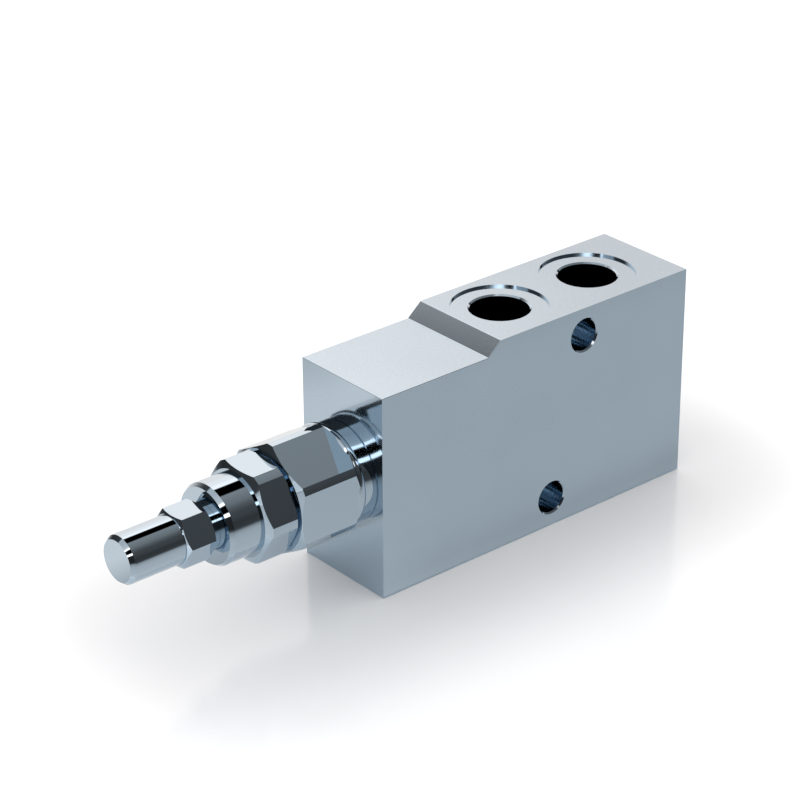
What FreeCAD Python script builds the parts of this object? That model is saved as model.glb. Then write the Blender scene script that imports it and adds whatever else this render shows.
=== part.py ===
import FreeCAD, Part
import math
import os
import re

import Sketcher

# Counterbalance valve: a steel block with threaded ports and a screw-in cartridge.
# Row frame in millimetres: +Z up, the origin at the centre of the block's bottom face,
# the cartridge points along -X and its axis lies at y = 0.

# Driving sizes: alias, value, what it is.
SIZES = (
    ("block_length", 101.5, "block along X"),
    ("block_width", 30.0, "block along Y"),
    ("block_height", 58.0, "block under the upper top face"),
    ("step_height", 54.5, "block under the lower top face"),
    ("step_length", 33.5, "lower top face, from the cartridge end"),
    ("slope_length", 4.2, "run of the slope between the two top faces"),
    ("axis_height", 29.5, "cartridge axis above the bottom face"),
    ("port_bore_d", 15.2, "G 3/8 port, bore of the thread"),
    ("port_depth", 13.5, "port bore below the block's face"),
    ("port_rim", 0.4, "chamfer at the port's mouth"),
    ("spotface_d", 25.0, "machined ring for the fitting's washer"),
    ("spotface_depth", 0.55, "depth of that ring"),
    ("passage_d", 12.0, "oil passage behind each port"),
    ("load_port_inset", 50.75, "top port over the cartridge, from the cartridge end"),
    ("return_port_inset", 30.75, "bottom port under the cartridge, from the cartridge end"),
    ("through_port_inset", 80.75, "ports of the straight passage, from the cartridge end"),
    ("mount_hole_d", 8.5, "through holes for M8 bolts"),
    ("mount_hole_rim", 0.4, "chamfer at both ends of those holes"),
    ("upper_hole_inset", 65.75, "upper bolt hole, from the cartridge end"),
    ("upper_hole_drop", 7.5, "upper bolt hole under the upper top face"),
    ("lower_hole_inset", 55.75, "lower bolt hole, from the cartridge end"),
    ("lower_hole_rise", 8.0, "lower bolt hole above the bottom face"),
    ("mouth_d", 25.2, "recess for the flange seal in the block's end face"),
    ("mouth_depth", 2.4, "depth of that recess"),
    ("body_thread_d", 22.0, "thread of the cartridge body in the block"),
    ("body_thread_depth", 16.4, "how deep the cartridge body reaches"),
    ("thread_runout", 0.6, "tapped length beyond the cartridge body"),
    ("rear_bore_d", 20.0, "cavity bore around the return chamber"),
    ("middle_bore_d", 18.0, "cavity bore around the load chamber"),
    ("nose_bore_d", 15.6, "cavity bore around the cartridge nose"),
    ("nose_bore_length", 13.0, "length of the nose bore"),
    ("bore_margin", 0.25, "cavity bore beyond the edge of a passage"),
    ("nose_clearance", 1.0, "cartridge nose to the cavity's bottom"),
    ("pilot_drill_d", 3.0, "pilot drilling to the straight passage"),
    ("orifice_thread_d", 5.0, "thread of the pilot orifice"),
    ("orifice_length", 3.2, "pilot orifice screw"),
    ("orifice_hole_d", 1.0, "hole of the pilot orifice"),
    ("orifice_slot_width", 0.9, "screwdriver slot of the pilot orifice"),
    ("orifice_slot_depth", 0.8, "depth of that slot"),
    ("chamfer_angle", 30.0, "hexagon chamfers, from the face"),
    ("body_reach", 23.1, "cartridge body in front of the block"),
    ("body_hex_af", 26.5, "cartridge body hexagon across flats"),
    ("body_corner_d", 29.5, "round that the corners of that hexagon are turned to"),
    ("body_hex_length", 16.4, "full corners of that hexagon"),
    ("body_hex_face_d", 26.2, "face of that hexagon inside its chamfer"),
    ("body_hex_phase", 31.0, "turn of that hexagon about X"),
    ("bead_reach", 4.9, "middle of the round bead in front of the block"),
    ("bead_ring_d", 24.0, "bead's centre circle"),
    ("bead_section_d", 3.4, "bead's round section"),
    ("neck_d", 26.2, "shoulder that bears on the block"),
    ("neck_rim", 0.25, "chamfer of that shoulder at the block"),
    ("undercut_d", 21.2, "undercut that carries the flange seal"),
    ("spring_bore_d", 14.0, "main spring chamber in the cartridge body"),
    ("cage_thread_d", 16.0, "thread of the cage in the cartridge body"),
    ("cage_thread_length", 6.5, "length of that thread"),
    ("nut_af", 23.5, "lock nut hexagon across flats"),
    ("nut_corner_d", 25.9, "round that the corners of that hexagon are turned to"),
    ("nut_length", 9.3, "lock nut hexagon along X"),
    ("nut_face_d", 22.2, "faces of that hexagon inside its chamfers"),
    ("nut_phase", 61.5, "turn of that hexagon about X"),
    ("collar_d", 20.7, "round collar of the lock nut"),
    ("collar_length", 9.2, "collar along X"),
    ("collar_chamfer_length", 1.2, "collar chamfer along X"),
    ("collar_chamfer_depth", 0.7, "collar chamfer across"),
    ("nut_seal_ring_d", 14.0, "centre circle of the lock nut seal"),
    ("nut_seal_section_d", 1.7, "section of the lock nut seal"),
    ("screw_thread_d", 12.0, "adjusting screw thread"),
    ("screw_thread_grip", 8.5, "that thread in the cartridge body"),
    ("screw_thread_spare", 0.6, "bore thread left beyond the screw's"),
    ("seal_bore_d", 11.1, "smooth bore behind the thread"),
    ("seal_bore_length", 8.6, "length of that bore"),
    ("screw_nose_length", 3.3, "screw end past the smooth bore"),
    ("tip_d", 12.2, "plain end of the adjusting screw"),
    ("tip_length", 15.2, "plain end in front of its hexagon"),
    ("tip_chamfer_length", 1.1, "chamfer of the plain end along X"),
    ("tip_chamfer_depth", 0.8, "chamfer of the plain end across"),
    ("small_hex_af", 13.0, "adjusting screw hexagon across flats"),
    ("small_hex_length", 8.2, "adjusting screw hexagon along X"),
    ("small_hex_face_d", 12.6, "faces of that hexagon inside its chamfers"),
    ("small_hex_phase", 0.0, "turn of that hexagon about X"),
    ("neck_gap", 1.6, "screw hexagon to the lock nut's collar"),
    ("screw_groove_setback", 2.4, "screw seal groove from the bore's end"),
    ("screw_groove_width", 2.0, "screw seal groove"),
    ("screw_groove_d", 8.2, "bottom of that groove"),
    ("ball_d", 5.0, "thrust ball"),
    ("ball_cup_depth", 1.3, "cup for the ball in the screw's end"),
    ("ball_side_gap", 0.05, "ball to the wall of its cups"),
    ("ball_gap", 0.05, "ball to the bottom of the screw's cup"),
    ("seat_disc_d", 13.2, "discs of both spring seats"),
    ("upper_seat_thickness", 3.5, "upper spring seat disc"),
    ("upper_cup_depth", 2.55, "cup for the ball in the upper seat"),
    ("lower_seat_thickness", 3.0, "lower spring seat disc"),
    ("spigot_d", 8.4, "spigots inside the main spring"),
    ("spigot_length", 3.0, "spigots along X"),
    ("main_wire_d", 2.0, "main spring wire"),
    ("main_coil_d", 11.0, "main spring, middle of the wire"),
    ("main_turns", 6.0, "main spring turns"),
    ("neck_length", 10.5, "narrow stretches of the cage at the ports"),
    ("return_neck_d", 16.0, "cage at the return port"),
    ("load_neck_d", 14.4, "cage at the load port"),
    ("land_gap", 0.05, "cage lands to the cavity bores"),
    ("groove_depth", 1.7, "seal grooves of the cage"),
    ("groove_width", 4.0, "seal grooves of the cage"),
    ("backup_width", 1.3, "backup rings"),
    ("seal_gap", 0.03, "seals to the walls of their grooves"),
    ("cage_hole_d", 5.0, "cross holes of the cage"),
    ("cage_spring_bore_d", 13.8, "spring chamber in the cage"),
    ("sleeve_bore_d", 11.8, "bore for the check sleeve"),
    ("guide_setback", 3.0, "poppet guide from the return port's axis"),
    ("guide_length", 3.5, "poppet guide"),
    ("poppet_stem_d", 8.0, "poppet stem in its guide"),
    ("poppet_tail_d", 6.0, "poppet tail in the lower spring seat"),
    ("poppet_flange_d", 10.4, "poppet head"),
    ("poppet_flange_length", 2.0, "poppet head along X"),
    ("poppet_nose_d", 6.4, "small end of the poppet's cone"),
    ("poppet_rod_d", 5.0, "poppet rod to the pilot piston"),
    ("seat_d", 8.4, "seat edge on the check sleeve"),
    ("seat_gap", 0.1, "poppet cone to the seat edge, along X"),
    ("sleeve_length", 10.0, "check sleeve"),
    ("check_wire_d", 1.2, "check spring wire"),
    ("check_coil_d", 10.2, "check spring, middle of the wire"),
    ("check_turns", 3.75, "check spring turns"),
    ("check_spring_gap", 0.02, "check spring to the faces at its ends"),
    ("stop_wire_d", 0.9, "stop ring of the check sleeve"),
    ("stop_ring_d", 11.5, "stop ring, middle of the wire"),
    ("stop_ring_gap_angle", 30.0, "gap in the stop ring"),
    ("shelf_offset", 0.5, "check spring shelf beyond the load chamber"),
    ("pilot_bore_d", 7.06, "pilot piston bore"),
    ("piston_setback", 1.0, "pilot piston from the check spring's shelf"),
    ("piston_length", 9.6, "pilot piston"),
    ("piston_groove_d", 4.4, "bottom of the piston's seal groove"),
    ("piston_groove_width", 1.8, "piston's seal groove"),
    ("clip_thickness", 0.8, "retaining ring of the pilot piston"),
    ("clip_bore_d", 5.4, "inside of the retaining ring"),
    ("clip_groove_d", 8.3, "groove of the retaining ring"),
    ("clip_gap_angle", 40.0, "gap in the retaining ring"),
    ("thread_gap", 0.05, "radial gap that stands for a thread"),
    ("slide_gap", 0.03, "radial gap of sliding fits"),
    ("stop_gap", 0.1, "axial gap at stops of moving pieces"),
    ("ring_gap", 0.05, "rings to the walls of their grooves"),
    ("hex_cut_margin", 4.0, "milling path outside a hexagon's corners"),
)

ALIASES = {name for name, value, note in SIZES}
WORD = re.compile(r"[a-z][a-z_]*")

# Stations along X, from the tip of the adjusting screw to the bottom of the cavity.
FACE = "(-block_length / 2)"
BODY_FRONT = f"({FACE} - body_reach)"
NUT_FRONT = f"({BODY_FRONT} - nut_length)"
COLLAR_FRONT = f"({NUT_FRONT} - collar_length)"
HEX_BACK = f"({COLLAR_FRONT} - neck_gap)"
HEX_FRONT = f"({HEX_BACK} - small_hex_length)"
TIP = f"({HEX_FRONT} - tip_length)"
GRIP_END = f"({BODY_FRONT} + screw_thread_grip)"
SEAL_BORE_END = f"({GRIP_END} + seal_bore_length)"
SCREW_END = f"({SEAL_BORE_END} + screw_nose_length)"
BALL_CENTRE = f"({SCREW_END} - ball_cup_depth + ball_gap + ball_d / 2)"
UPPER_SEAT = f"({BALL_CENTRE} + ball_d / 2 - upper_cup_depth)"
MAIN_SPRING = f"({UPPER_SEAT} + upper_seat_thickness)"
BODY_END = f"({FACE} + body_thread_depth)"
CAGE_REAR = f"({BODY_END} - cage_thread_length)"
RETURN_PORT = f"({FACE} + return_port_inset)"
LOAD_PORT = f"({FACE} + load_port_inset)"
THROUGH_PORT = f"({FACE} + through_port_inset)"
RETURN_NECK = f"({RETURN_PORT} - neck_length / 2)"
SEAT = f"({RETURN_PORT} + neck_length / 2)"
LOAD_NECK = f"({LOAD_PORT} - neck_length / 2)"
LOAD_NECK_END = f"({LOAD_PORT} + neck_length / 2)"
REAR_BORE_END = f"({RETURN_PORT} + passage_d / 2 + bore_margin)"
MIDDLE_BORE_END = f"({LOAD_PORT} + passage_d / 2 + bore_margin)"
NOSE_BORE_END = f"({MIDDLE_BORE_END} + nose_bore_length)"
CAGE_NOSE = f"({NOSE_BORE_END} - nose_clearance)"
GUIDE_FRONT = f"({RETURN_PORT} - guide_setback)"
GUIDE_REAR = f"({GUIDE_FRONT} - guide_length)"
LOWER_SEAT_FACE = f"({GUIDE_REAR} - stop_gap)"
MAIN_SPRING_END = f"({LOWER_SEAT_FACE} - lower_seat_thickness)"
TAIL = f"({MAIN_SPRING_END} - spigot_length)"
SLEEVE_END = f"({SEAT} + sleeve_length)"
SHELF = f"({LOAD_NECK_END} + shelf_offset)"
PISTON = f"({SHELF} + piston_setback)"
PISTON_END = f"({PISTON} + piston_length)"
CLIP = f"({PISTON_END} + stop_gap)"
ORIFICE_END = f"({NOSE_BORE_END} + orifice_length)"

doc = FreeCAD.newDocument("counterbalance_valve")
sheet = doc.addObject("Spreadsheet::Sheet", "Sizes")
for row, (name, value, note) in enumerate(SIZES, start=1):
    sheet.set(f"A{row}", name)
    sheet.set(f"B{row}", str(value))
    sheet.set(f"C{row}", note)
    sheet.setAlias(f"B{row}", name)
doc.recompute()


def cells(text):
    """Turn the aliases in a formula into references to the sheet."""
    return WORD.sub(lambda word: "Sizes." + word[0] if word[0] in ALIASES else word[0], text)


def bind(thing, **formulas):
    """Bind properties to the sheet; a double underscore in a name stands for a dot."""
    for prop, formula in formulas.items():
        thing.setExpression(prop.replace("__", "."), cells(formula))


def on_axis(thing):
    """Lift a piece of the cartridge to the height of its axis."""
    bind(thing, Placement__Base__z="axis_height")


def new_body(name):
    body = doc.addObject("PartDesign::Body", name)
    body.Label = name
    return body


def new_sketch(body, name, role):
    """An empty sketch on one of the body's own origin planes."""
    sketch = body.newObject("Sketcher::SketchObject", name)
    plane = next(part for part in body.Origin.OriginFeatures if part.Role == role)
    sketch.AttachmentSupport = [(plane, "")]
    sketch.MapMode = "FlatFace"
    return sketch


def pin(sketch, kind, axis, line, value, formula, label):
    """Hold one coordinate of a corner: on the axis itself, or at a formula from it."""
    if formula == "0":
        sketch.addConstraint(Sketcher.Constraint("PointOnObject", line, 1, axis))
        return
    number = sketch.addConstraint(Sketcher.Constraint(kind, -1, 1, line, 1, value))
    sketch.renameConstraint(number, label)
    sketch.setExpression("Constraints." + label, cells(formula))


def add_outline(sketch, corners):
    """Draw a closed outline, each corner held by the formulas of its two coordinates."""
    count = len(corners)
    draft = [
        FreeCAD.Vector(9 * math.cos(math.tau * i / count), 9 * math.sin(math.tau * i / count), 0)
        for i in range(count)
    ]
    for i in range(count):
        sketch.addGeometry(Part.LineSegment(draft[i], draft[(i + 1) % count]))
    for i in range(count):
        sketch.addConstraint(Sketcher.Constraint("Coincident", i, 2, (i + 1) % count, 1))
    for i, (across, up) in enumerate(corners):
        pin(sketch, "DistanceX", -2, i, draft[i].x, across, f"across{i}")
        pin(sketch, "DistanceY", -1, i, draft[i].y, up, f"up{i}")


def revolve(body, kind, name, sketch, axis, angle=None):
    """Revolve a sketch about one of its own axes, as a solid or as a cut."""
    turn = body.newObject("PartDesign::" + kind, name)
    turn.Profile = sketch
    turn.ReferenceAxis = (sketch, [axis])
    turn.Angle = 360
    if angle:
        bind(turn, Angle=angle)
    return turn


def turned(name, corners, angle=None):
    """A piece turned about the cartridge axis, from its outline of (station, radius)."""
    body = new_body(name)
    sketch = new_sketch(body, name + "_outline", "XY_Plane")
    add_outline(sketch, corners)
    revolve(body, "Revolution", name + "_turned", sketch, "H_Axis", angle)
    on_axis(body)
    return body


def mill_hexagon(body, name, start, length, across_flats, phase):
    """Mill six flats over a length: what lies outside the hexagon is cut away."""
    corner = f"({across_flats} / sqrt(3))"
    sketch = new_sketch(body, name, "YZ_Plane")
    bind(sketch, AttachmentOffset__Base__z=f"{start} + {length}")
    bind(sketch, AttachmentOffset__Rotation__Angle=phase)
    add_outline(sketch, [
        (corner, "0"),
        (f"{corner} / 2", f"{across_flats} / 2"),
        (f"-{corner} / 2", f"{across_flats} / 2"),
        (f"-{corner}", "0"),
        (f"-{corner} / 2", f"-{across_flats} / 2"),
        (f"{corner} / 2", f"-{across_flats} / 2"),
    ])
    ring = sketch.addGeometry(Part.Circle(FreeCAD.Vector(0, 0, 0), FreeCAD.Vector(0, 0, 1), 20))
    sketch.addConstraint(Sketcher.Constraint("Coincident", ring, 3, -1, 1))
    reach = sketch.addConstraint(Sketcher.Constraint("Radius", ring, 20))
    sketch.renameConstraint(reach, "reach")
    sketch.setExpression("Constraints.reach", cells(f"{corner} + hex_cut_margin"))
    flats = body.newObject("PartDesign::Pocket", name + "_flats")
    flats.Profile = sketch
    bind(flats, Length=length)


def hexagon_outline(start, length, corner, face_d):
    """Turned corners of a hexagon with a chamfer at both ends."""
    cut = f"({corner} - {face_d} / 2) * tan(chamfer_angle)"
    return [
        (start, f"{face_d} / 2"),
        (f"{start} + {cut}", corner),
        (f"{start} + {length} - {cut}", corner),
        (f"{start} + {length}", f"{face_d} / 2"),
    ]


def ring_seal(name, station, ring_d, section_d):
    """An O-ring around the cartridge axis."""
    torus = doc.addObject("Part::Torus", name)
    torus.Label = name
    torus.Placement = FreeCAD.Placement(
        FreeCAD.Vector(0, 0, 0), FreeCAD.Rotation(FreeCAD.Vector(0, 1, 0), 90)
    )
    bind(torus, Radius1=f"({ring_d}) / 2", Radius2=f"({section_d}) / 2")
    bind(torus, Placement__Base__x=station)
    on_axis(torus)
    return torus


def wire_coil(name, start, pitch, turns, coil_d, wire_d):
    """Spring wire wound about the cartridge axis, the middle of its first turn at a station."""
    helix = doc.addObject("Part::Helix", name + "_line")
    bind(helix, Pitch=pitch, Height=f"{pitch} * ({turns})", Radius=f"{coil_d} / 2")
    section = doc.addObject("Part::Circle", name + "_section")
    section.Placement = FreeCAD.Placement(
        FreeCAD.Vector(0, 0, 0), FreeCAD.Rotation(FreeCAD.Vector(1, 0, 0), 90)
    )
    bind(section, Radius=f"{wire_d} / 2", Placement__Base__x=f"{coil_d} / 2")
    coil = doc.addObject("Part::Sweep", name)
    coil.Label = name
    coil.Sections = [section]
    coil.Spine = (helix, [])
    coil.Solid = True
    coil.Frenet = True
    coil.Placement = FreeCAD.Placement(
        FreeCAD.Vector(0, 0, 0), FreeCAD.Rotation(FreeCAD.Vector(0, 1, 0), 90)
    )
    bind(coil, Placement__Base__x=start)
    on_axis(coil)
    return coil


# The block, milled from bar.

def port(body, name, station, height, turn, reach):
    """Cut a threaded port, its spotface and the passage behind it, from one face."""
    sketch = new_sketch(body, name, "XZ_Plane")
    sketch.AttachmentOffset = FreeCAD.Placement(
        FreeCAD.Vector(0, 0, 0), FreeCAD.Rotation(FreeCAD.Vector(0, 0, 1), turn)
    )
    bind(sketch, AttachmentOffset__Base__x=station, AttachmentOffset__Base__y=height)
    add_outline(sketch, [
        ("0", "0"),
        ("spotface_d / 2", "0"),
        ("spotface_d / 2", "-spotface_depth"),
        ("port_bore_d / 2 + port_rim", "-spotface_depth"),
        ("port_bore_d / 2", "-spotface_depth - port_rim"),
        ("port_bore_d / 2", "-port_depth"),
        ("passage_d / 2", "-port_depth"),
        ("passage_d / 2", f"-({reach})"),
        ("0", f"-({reach})"),
    ])
    revolve(body, "Groove", name + "_cut", sketch, "V_Axis")


def bolt_hole(body, name, station, height):
    """Cut a through hole along Y with a chamfer at both ends."""
    sketch = new_sketch(body, name, "XY_Plane")
    bind(sketch, AttachmentOffset__Base__x=station, AttachmentOffset__Base__z=height)
    rim = "mount_hole_d / 2 + mount_hole_rim"
    add_outline(sketch, [
        ("0", "-block_width / 2"),
        (rim, "-block_width / 2"),
        ("mount_hole_d / 2", "-block_width / 2 + mount_hole_rim"),
        ("mount_hole_d / 2", "block_width / 2 - mount_hole_rim"),
        (rim, "block_width / 2"),
        ("0", "block_width / 2"),
    ])
    revolve(body, "Groove", name + "_cut", sketch, "V_Axis")


def valve_block():
    body = new_body("valve_block")
    side = new_sketch(body, "block_side", "XZ_Plane")
    add_outline(side, [
        ("-block_length / 2", "0"),
        ("block_length / 2", "0"),
        ("block_length / 2", "block_height"),
        ("-block_length / 2 + step_length + slope_length", "block_height"),
        ("-block_length / 2 + step_length", "step_height"),
        ("-block_length / 2", "step_height"),
    ])
    bar = body.newObject("PartDesign::Pad", "block_bar")
    bar.Profile = side
    bar.Midplane = True
    bind(bar, Length="block_width")

    cavity = new_sketch(body, "cavity", "XY_Plane")
    bind(cavity, AttachmentOffset__Base__z="axis_height")
    tapped_end = f"{BODY_END} + thread_runout"
    add_outline(cavity, [
        (FACE, "0"),
        (FACE, "mouth_d / 2"),
        (f"{FACE} + mouth_depth", "mouth_d / 2"),
        (f"{FACE} + mouth_depth", "body_thread_d / 2"),
        (tapped_end, "body_thread_d / 2"),
        (tapped_end, "rear_bore_d / 2"),
        (REAR_BORE_END, "rear_bore_d / 2"),
        (REAR_BORE_END, "middle_bore_d / 2"),
        (MIDDLE_BORE_END, "middle_bore_d / 2"),
        (MIDDLE_BORE_END, "nose_bore_d / 2"),
        (NOSE_BORE_END, "nose_bore_d / 2"),
        (NOSE_BORE_END, "orifice_thread_d / 2"),
        (ORIFICE_END, "orifice_thread_d / 2"),
        (ORIFICE_END, "pilot_drill_d / 2"),
        (THROUGH_PORT, "pilot_drill_d / 2"),
        (THROUGH_PORT, "0"),
    ])
    revolve(body, "Groove", "cavity_bore", cavity, "H_Axis")

    port(body, "load_port", LOAD_PORT, "block_height", 0, "block_height - axis_height")
    port(body, "return_port", RETURN_PORT, "0", 180, "axis_height")
    port(body, "upper_through_port", THROUGH_PORT, "block_height", 0, "block_height - axis_height")
    port(body, "lower_through_port", THROUGH_PORT, "0", 180, "axis_height")
    bolt_hole(body, "upper_bolt_hole", f"{FACE} + upper_hole_inset", "block_height - upper_hole_drop")
    bolt_hole(body, "lower_bolt_hole", f"{FACE} + lower_hole_inset", "lower_hole_rise")
    return body


# What shows in front of the block: cartridge body, lock nut and adjusting screw.

def cartridge_body():
    corner = "body_corner_d / 2"
    cut = f"({corner} - body_hex_face_d / 2) * tan(chamfer_angle)"
    corner_end = f"{BODY_FRONT} + body_hex_length"
    thread = "body_thread_d / 2 - thread_gap"
    cage_bore = "cage_thread_d / 2 + thread_gap"
    screw_bore = "screw_thread_d / 2 + thread_gap"
    body = turned("cartridge_body", [
        (BODY_FRONT, screw_bore),
        (BODY_FRONT, "body_hex_face_d / 2"),
        (f"{BODY_FRONT} + {cut}", corner),
        (corner_end, corner),
        (f"{corner_end} + {corner} - neck_d / 2", "neck_d / 2"),
        (f"{FACE} - neck_rim", "neck_d / 2"),
        (FACE, "neck_d / 2 - neck_rim"),
        (FACE, "undercut_d / 2"),
        (f"{FACE} + mouth_depth", "undercut_d / 2"),
        (f"{FACE} + mouth_depth", thread),
        (BODY_END, thread),
        (BODY_END, cage_bore),
        (CAGE_REAR, cage_bore),
        (CAGE_REAR, "spring_bore_d / 2"),
        (SEAL_BORE_END, "spring_bore_d / 2"),
        (SEAL_BORE_END, "seal_bore_d / 2"),
        (GRIP_END, "seal_bore_d / 2"),
        (GRIP_END, screw_bore),
    ])
    mill_hexagon(
        body, "body_hexagon", BODY_FRONT, "body_reach - bead_reach", "body_hex_af", "body_hex_phase"
    )
    bead = body.newObject("PartDesign::AdditiveTorus", "body_bead")
    bead.Placement = FreeCAD.Placement(
        FreeCAD.Vector(0, 0, 0), FreeCAD.Rotation(FreeCAD.Vector(0, 1, 0), 90)
    )
    bind(bead, Radius1="bead_ring_d / 2", Radius2="bead_section_d / 2")
    bind(bead, Placement__Base__x=f"{FACE} - bead_reach")
    return body


def lock_nut():
    bore = "screw_thread_d / 2 + thread_gap"
    pocket = "(nut_seal_ring_d + nut_seal_section_d) / 2 + ring_gap"
    pocket_start = f"{BODY_FRONT} - nut_seal_section_d - stop_gap"
    body = turned("lock_nut", [
        (COLLAR_FRONT, bore),
        (COLLAR_FRONT, "collar_d / 2 - collar_chamfer_depth"),
        (f"{COLLAR_FRONT} + collar_chamfer_length", "collar_d / 2"),
        (NUT_FRONT, "collar_d / 2"),
        *hexagon_outline(NUT_FRONT, "nut_length", "nut_corner_d / 2", "nut_face_d"),
        (BODY_FRONT, pocket),
        (pocket_start, pocket),
        (pocket_start, bore),
    ])
    mill_hexagon(body, "nut_hexagon", NUT_FRONT, "nut_length", "nut_af", "nut_phase")
    return body


def adjusting_screw():
    plain = "seal_bore_d / 2 - slide_gap"
    groove = f"({SEAL_BORE_END} - screw_groove_setback)"
    cup = "ball_d / 2 + ball_side_gap"
    body = turned("adjusting_screw", [
        (TIP, "0"),
        (TIP, "tip_d / 2 - tip_chamfer_depth"),
        (f"{TIP} + tip_chamfer_length", "tip_d / 2"),
        (HEX_FRONT, "tip_d / 2"),
        *hexagon_outline(HEX_FRONT, "small_hex_length", "small_hex_af / sqrt(3)", "small_hex_face_d"),
        (HEX_BACK, "screw_thread_d / 2"),
        (f"{GRIP_END} - screw_thread_spare", "screw_thread_d / 2"),
        (f"{GRIP_END} - screw_thread_spare", plain),
        (f"{groove} - screw_groove_width / 2", plain),
        (f"{groove} - screw_groove_width / 2", "screw_groove_d / 2"),
        (f"{groove} + screw_groove_width / 2", "screw_groove_d / 2"),
        (f"{groove} + screw_groove_width / 2", plain),
        (SCREW_END, plain),
        (SCREW_END, cup),
        (f"{SCREW_END} - ball_cup_depth", cup),
        (f"{SCREW_END} - ball_cup_depth", "0"),
    ])
    mill_hexagon(body, "screw_hexagon", HEX_FRONT, "small_hex_length", "small_hex_af", "small_hex_phase")
    return body


# What pushes on the poppet: ball, spring seats and springs.

def thrust_ball():
    ball = doc.addObject("Part::Sphere", "thrust_ball")
    ball.Label = "thrust_ball"
    bind(ball, Radius="ball_d / 2", Placement__Base__x=BALL_CENTRE)
    on_axis(ball)
    return ball


def upper_spring_seat():
    cup = "ball_d / 2 + ball_side_gap"
    return turned("upper_spring_seat", [
        (f"{UPPER_SEAT} + upper_cup_depth", "0"),
        (f"{UPPER_SEAT} + upper_cup_depth", cup),
        (UPPER_SEAT, cup),
        (UPPER_SEAT, "seat_disc_d / 2"),
        (MAIN_SPRING, "seat_disc_d / 2"),
        (MAIN_SPRING, "spigot_d / 2"),
        (f"{MAIN_SPRING} + spigot_length", "spigot_d / 2"),
        (f"{MAIN_SPRING} + spigot_length", "0"),
    ])


def main_spring():
    """Heavy spring, half a turn ground off at each end so that it sits flat on its seats."""
    pitch = f"(({MAIN_SPRING_END} - {MAIN_SPRING}) / main_turns)"
    start = f"{MAIN_SPRING} - {pitch} / 2"
    coil = wire_coil("main_spring_wire", start, pitch, "main_turns + 1", "main_coil_d", "main_wire_d")
    stretch = doc.addObject("Part::Cylinder", "main_spring_ground_ends")
    stretch.Placement = FreeCAD.Placement(
        FreeCAD.Vector(0, 0, 0), FreeCAD.Rotation(FreeCAD.Vector(0, 1, 0), 90)
    )
    bind(stretch, Radius="main_coil_d / 2 + main_wire_d", Height=f"{MAIN_SPRING_END} - {MAIN_SPRING}")
    bind(stretch, Placement__Base__x=MAIN_SPRING)
    on_axis(stretch)
    spring = doc.addObject("Part::Common", "main_spring")
    spring.Label = "main_spring"
    spring.Base = coil
    spring.Tool = stretch
    return spring


def lower_spring_seat():
    hole = "poppet_tail_d / 2 + slide_gap"
    return turned("lower_spring_seat", [
        (TAIL, hole),
        (TAIL, "spigot_d / 2"),
        (MAIN_SPRING_END, "spigot_d / 2"),
        (MAIN_SPRING_END, "seat_disc_d / 2"),
        (LOWER_SEAT_FACE, "seat_disc_d / 2"),
        (LOWER_SEAT_FACE, hole),
    ])


# The cage and what it holds: guide, poppet, check sleeve, pilot piston.

def groove_outline(centre, bore_d):
    """The four corners of a seal groove in a land of the cage."""
    land = f"({bore_d} / 2 - land_gap)"
    bottom = f"({bore_d} / 2 - groove_depth)"
    return [
        (f"{centre} - groove_width / 2", land),
        (f"{centre} - groove_width / 2", bottom),
        (f"{centre} + groove_width / 2", bottom),
        (f"{centre} + groove_width / 2", land),
    ]


REAR_GROOVE = f"(({BODY_END} + {RETURN_NECK}) / 2)"
MIDDLE_GROOVE = f"(({REAR_BORE_END} + {LOAD_NECK}) / 2)"
NOSE_GROOVE = f"(({MIDDLE_BORE_END} + {CAGE_NOSE}) / 2)"


def cage():
    rear_land = "rear_bore_d / 2 - land_gap"
    middle_land = "middle_bore_d / 2 - land_gap"
    nose_land = "nose_bore_d / 2 - land_gap"
    stop_groove = "(stop_ring_d + stop_wire_d) / 2 + ring_gap"
    stop_start = f"{SEAT} - stop_wire_d - stop_gap"
    clip_end = f"{CLIP} + clip_thickness + ring_gap"
    body = turned("cage", [
        (CAGE_REAR, "cage_spring_bore_d / 2"),
        (CAGE_REAR, "cage_thread_d / 2"),
        (BODY_END, "cage_thread_d / 2"),
        (BODY_END, rear_land),
        *groove_outline(REAR_GROOVE, "rear_bore_d"),
        (RETURN_NECK, rear_land),
        (RETURN_NECK, "return_neck_d / 2"),
        (SEAT, "return_neck_d / 2"),
        (SEAT, middle_land),
        *groove_outline(MIDDLE_GROOVE, "middle_bore_d"),
        (LOAD_NECK, middle_land),
        (LOAD_NECK, "load_neck_d / 2"),
        (LOAD_NECK_END, "load_neck_d / 2"),
        (LOAD_NECK_END, nose_land),
        *groove_outline(NOSE_GROOVE, "nose_bore_d"),
        (CAGE_NOSE, nose_land),
        (CAGE_NOSE, "pilot_bore_d / 2"),
        (clip_end, "pilot_bore_d / 2"),
        (clip_end, "clip_groove_d / 2"),
        (f"{CLIP} - ring_gap", "clip_groove_d / 2"),
        (f"{CLIP} - ring_gap", "pilot_bore_d / 2"),
        (SHELF, "pilot_bore_d / 2"),
        (SHELF, "sleeve_bore_d / 2"),
        (SEAT, "sleeve_bore_d / 2"),
        (SEAT, stop_groove),
        (stop_start, stop_groove),
        (stop_start, "sleeve_bore_d / 2"),
        (GUIDE_FRONT, "sleeve_bore_d / 2"),
        (GUIDE_FRONT, "cage_spring_bore_d / 2"),
    ])
    for plane in ("XY_Plane", "XZ_Plane"):
        holes = new_sketch(body, "cage_holes_" + plane[:2].lower(), plane)
        for index, station in enumerate((RETURN_PORT, LOAD_PORT)):
            add_hole(holes, index, station)
        cut = body.newObject("PartDesign::Pocket", holes.Name + "_cut")
        cut.Profile = holes
        cut.Type = "ThroughAll"
        cut.Midplane = True
    return body


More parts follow.
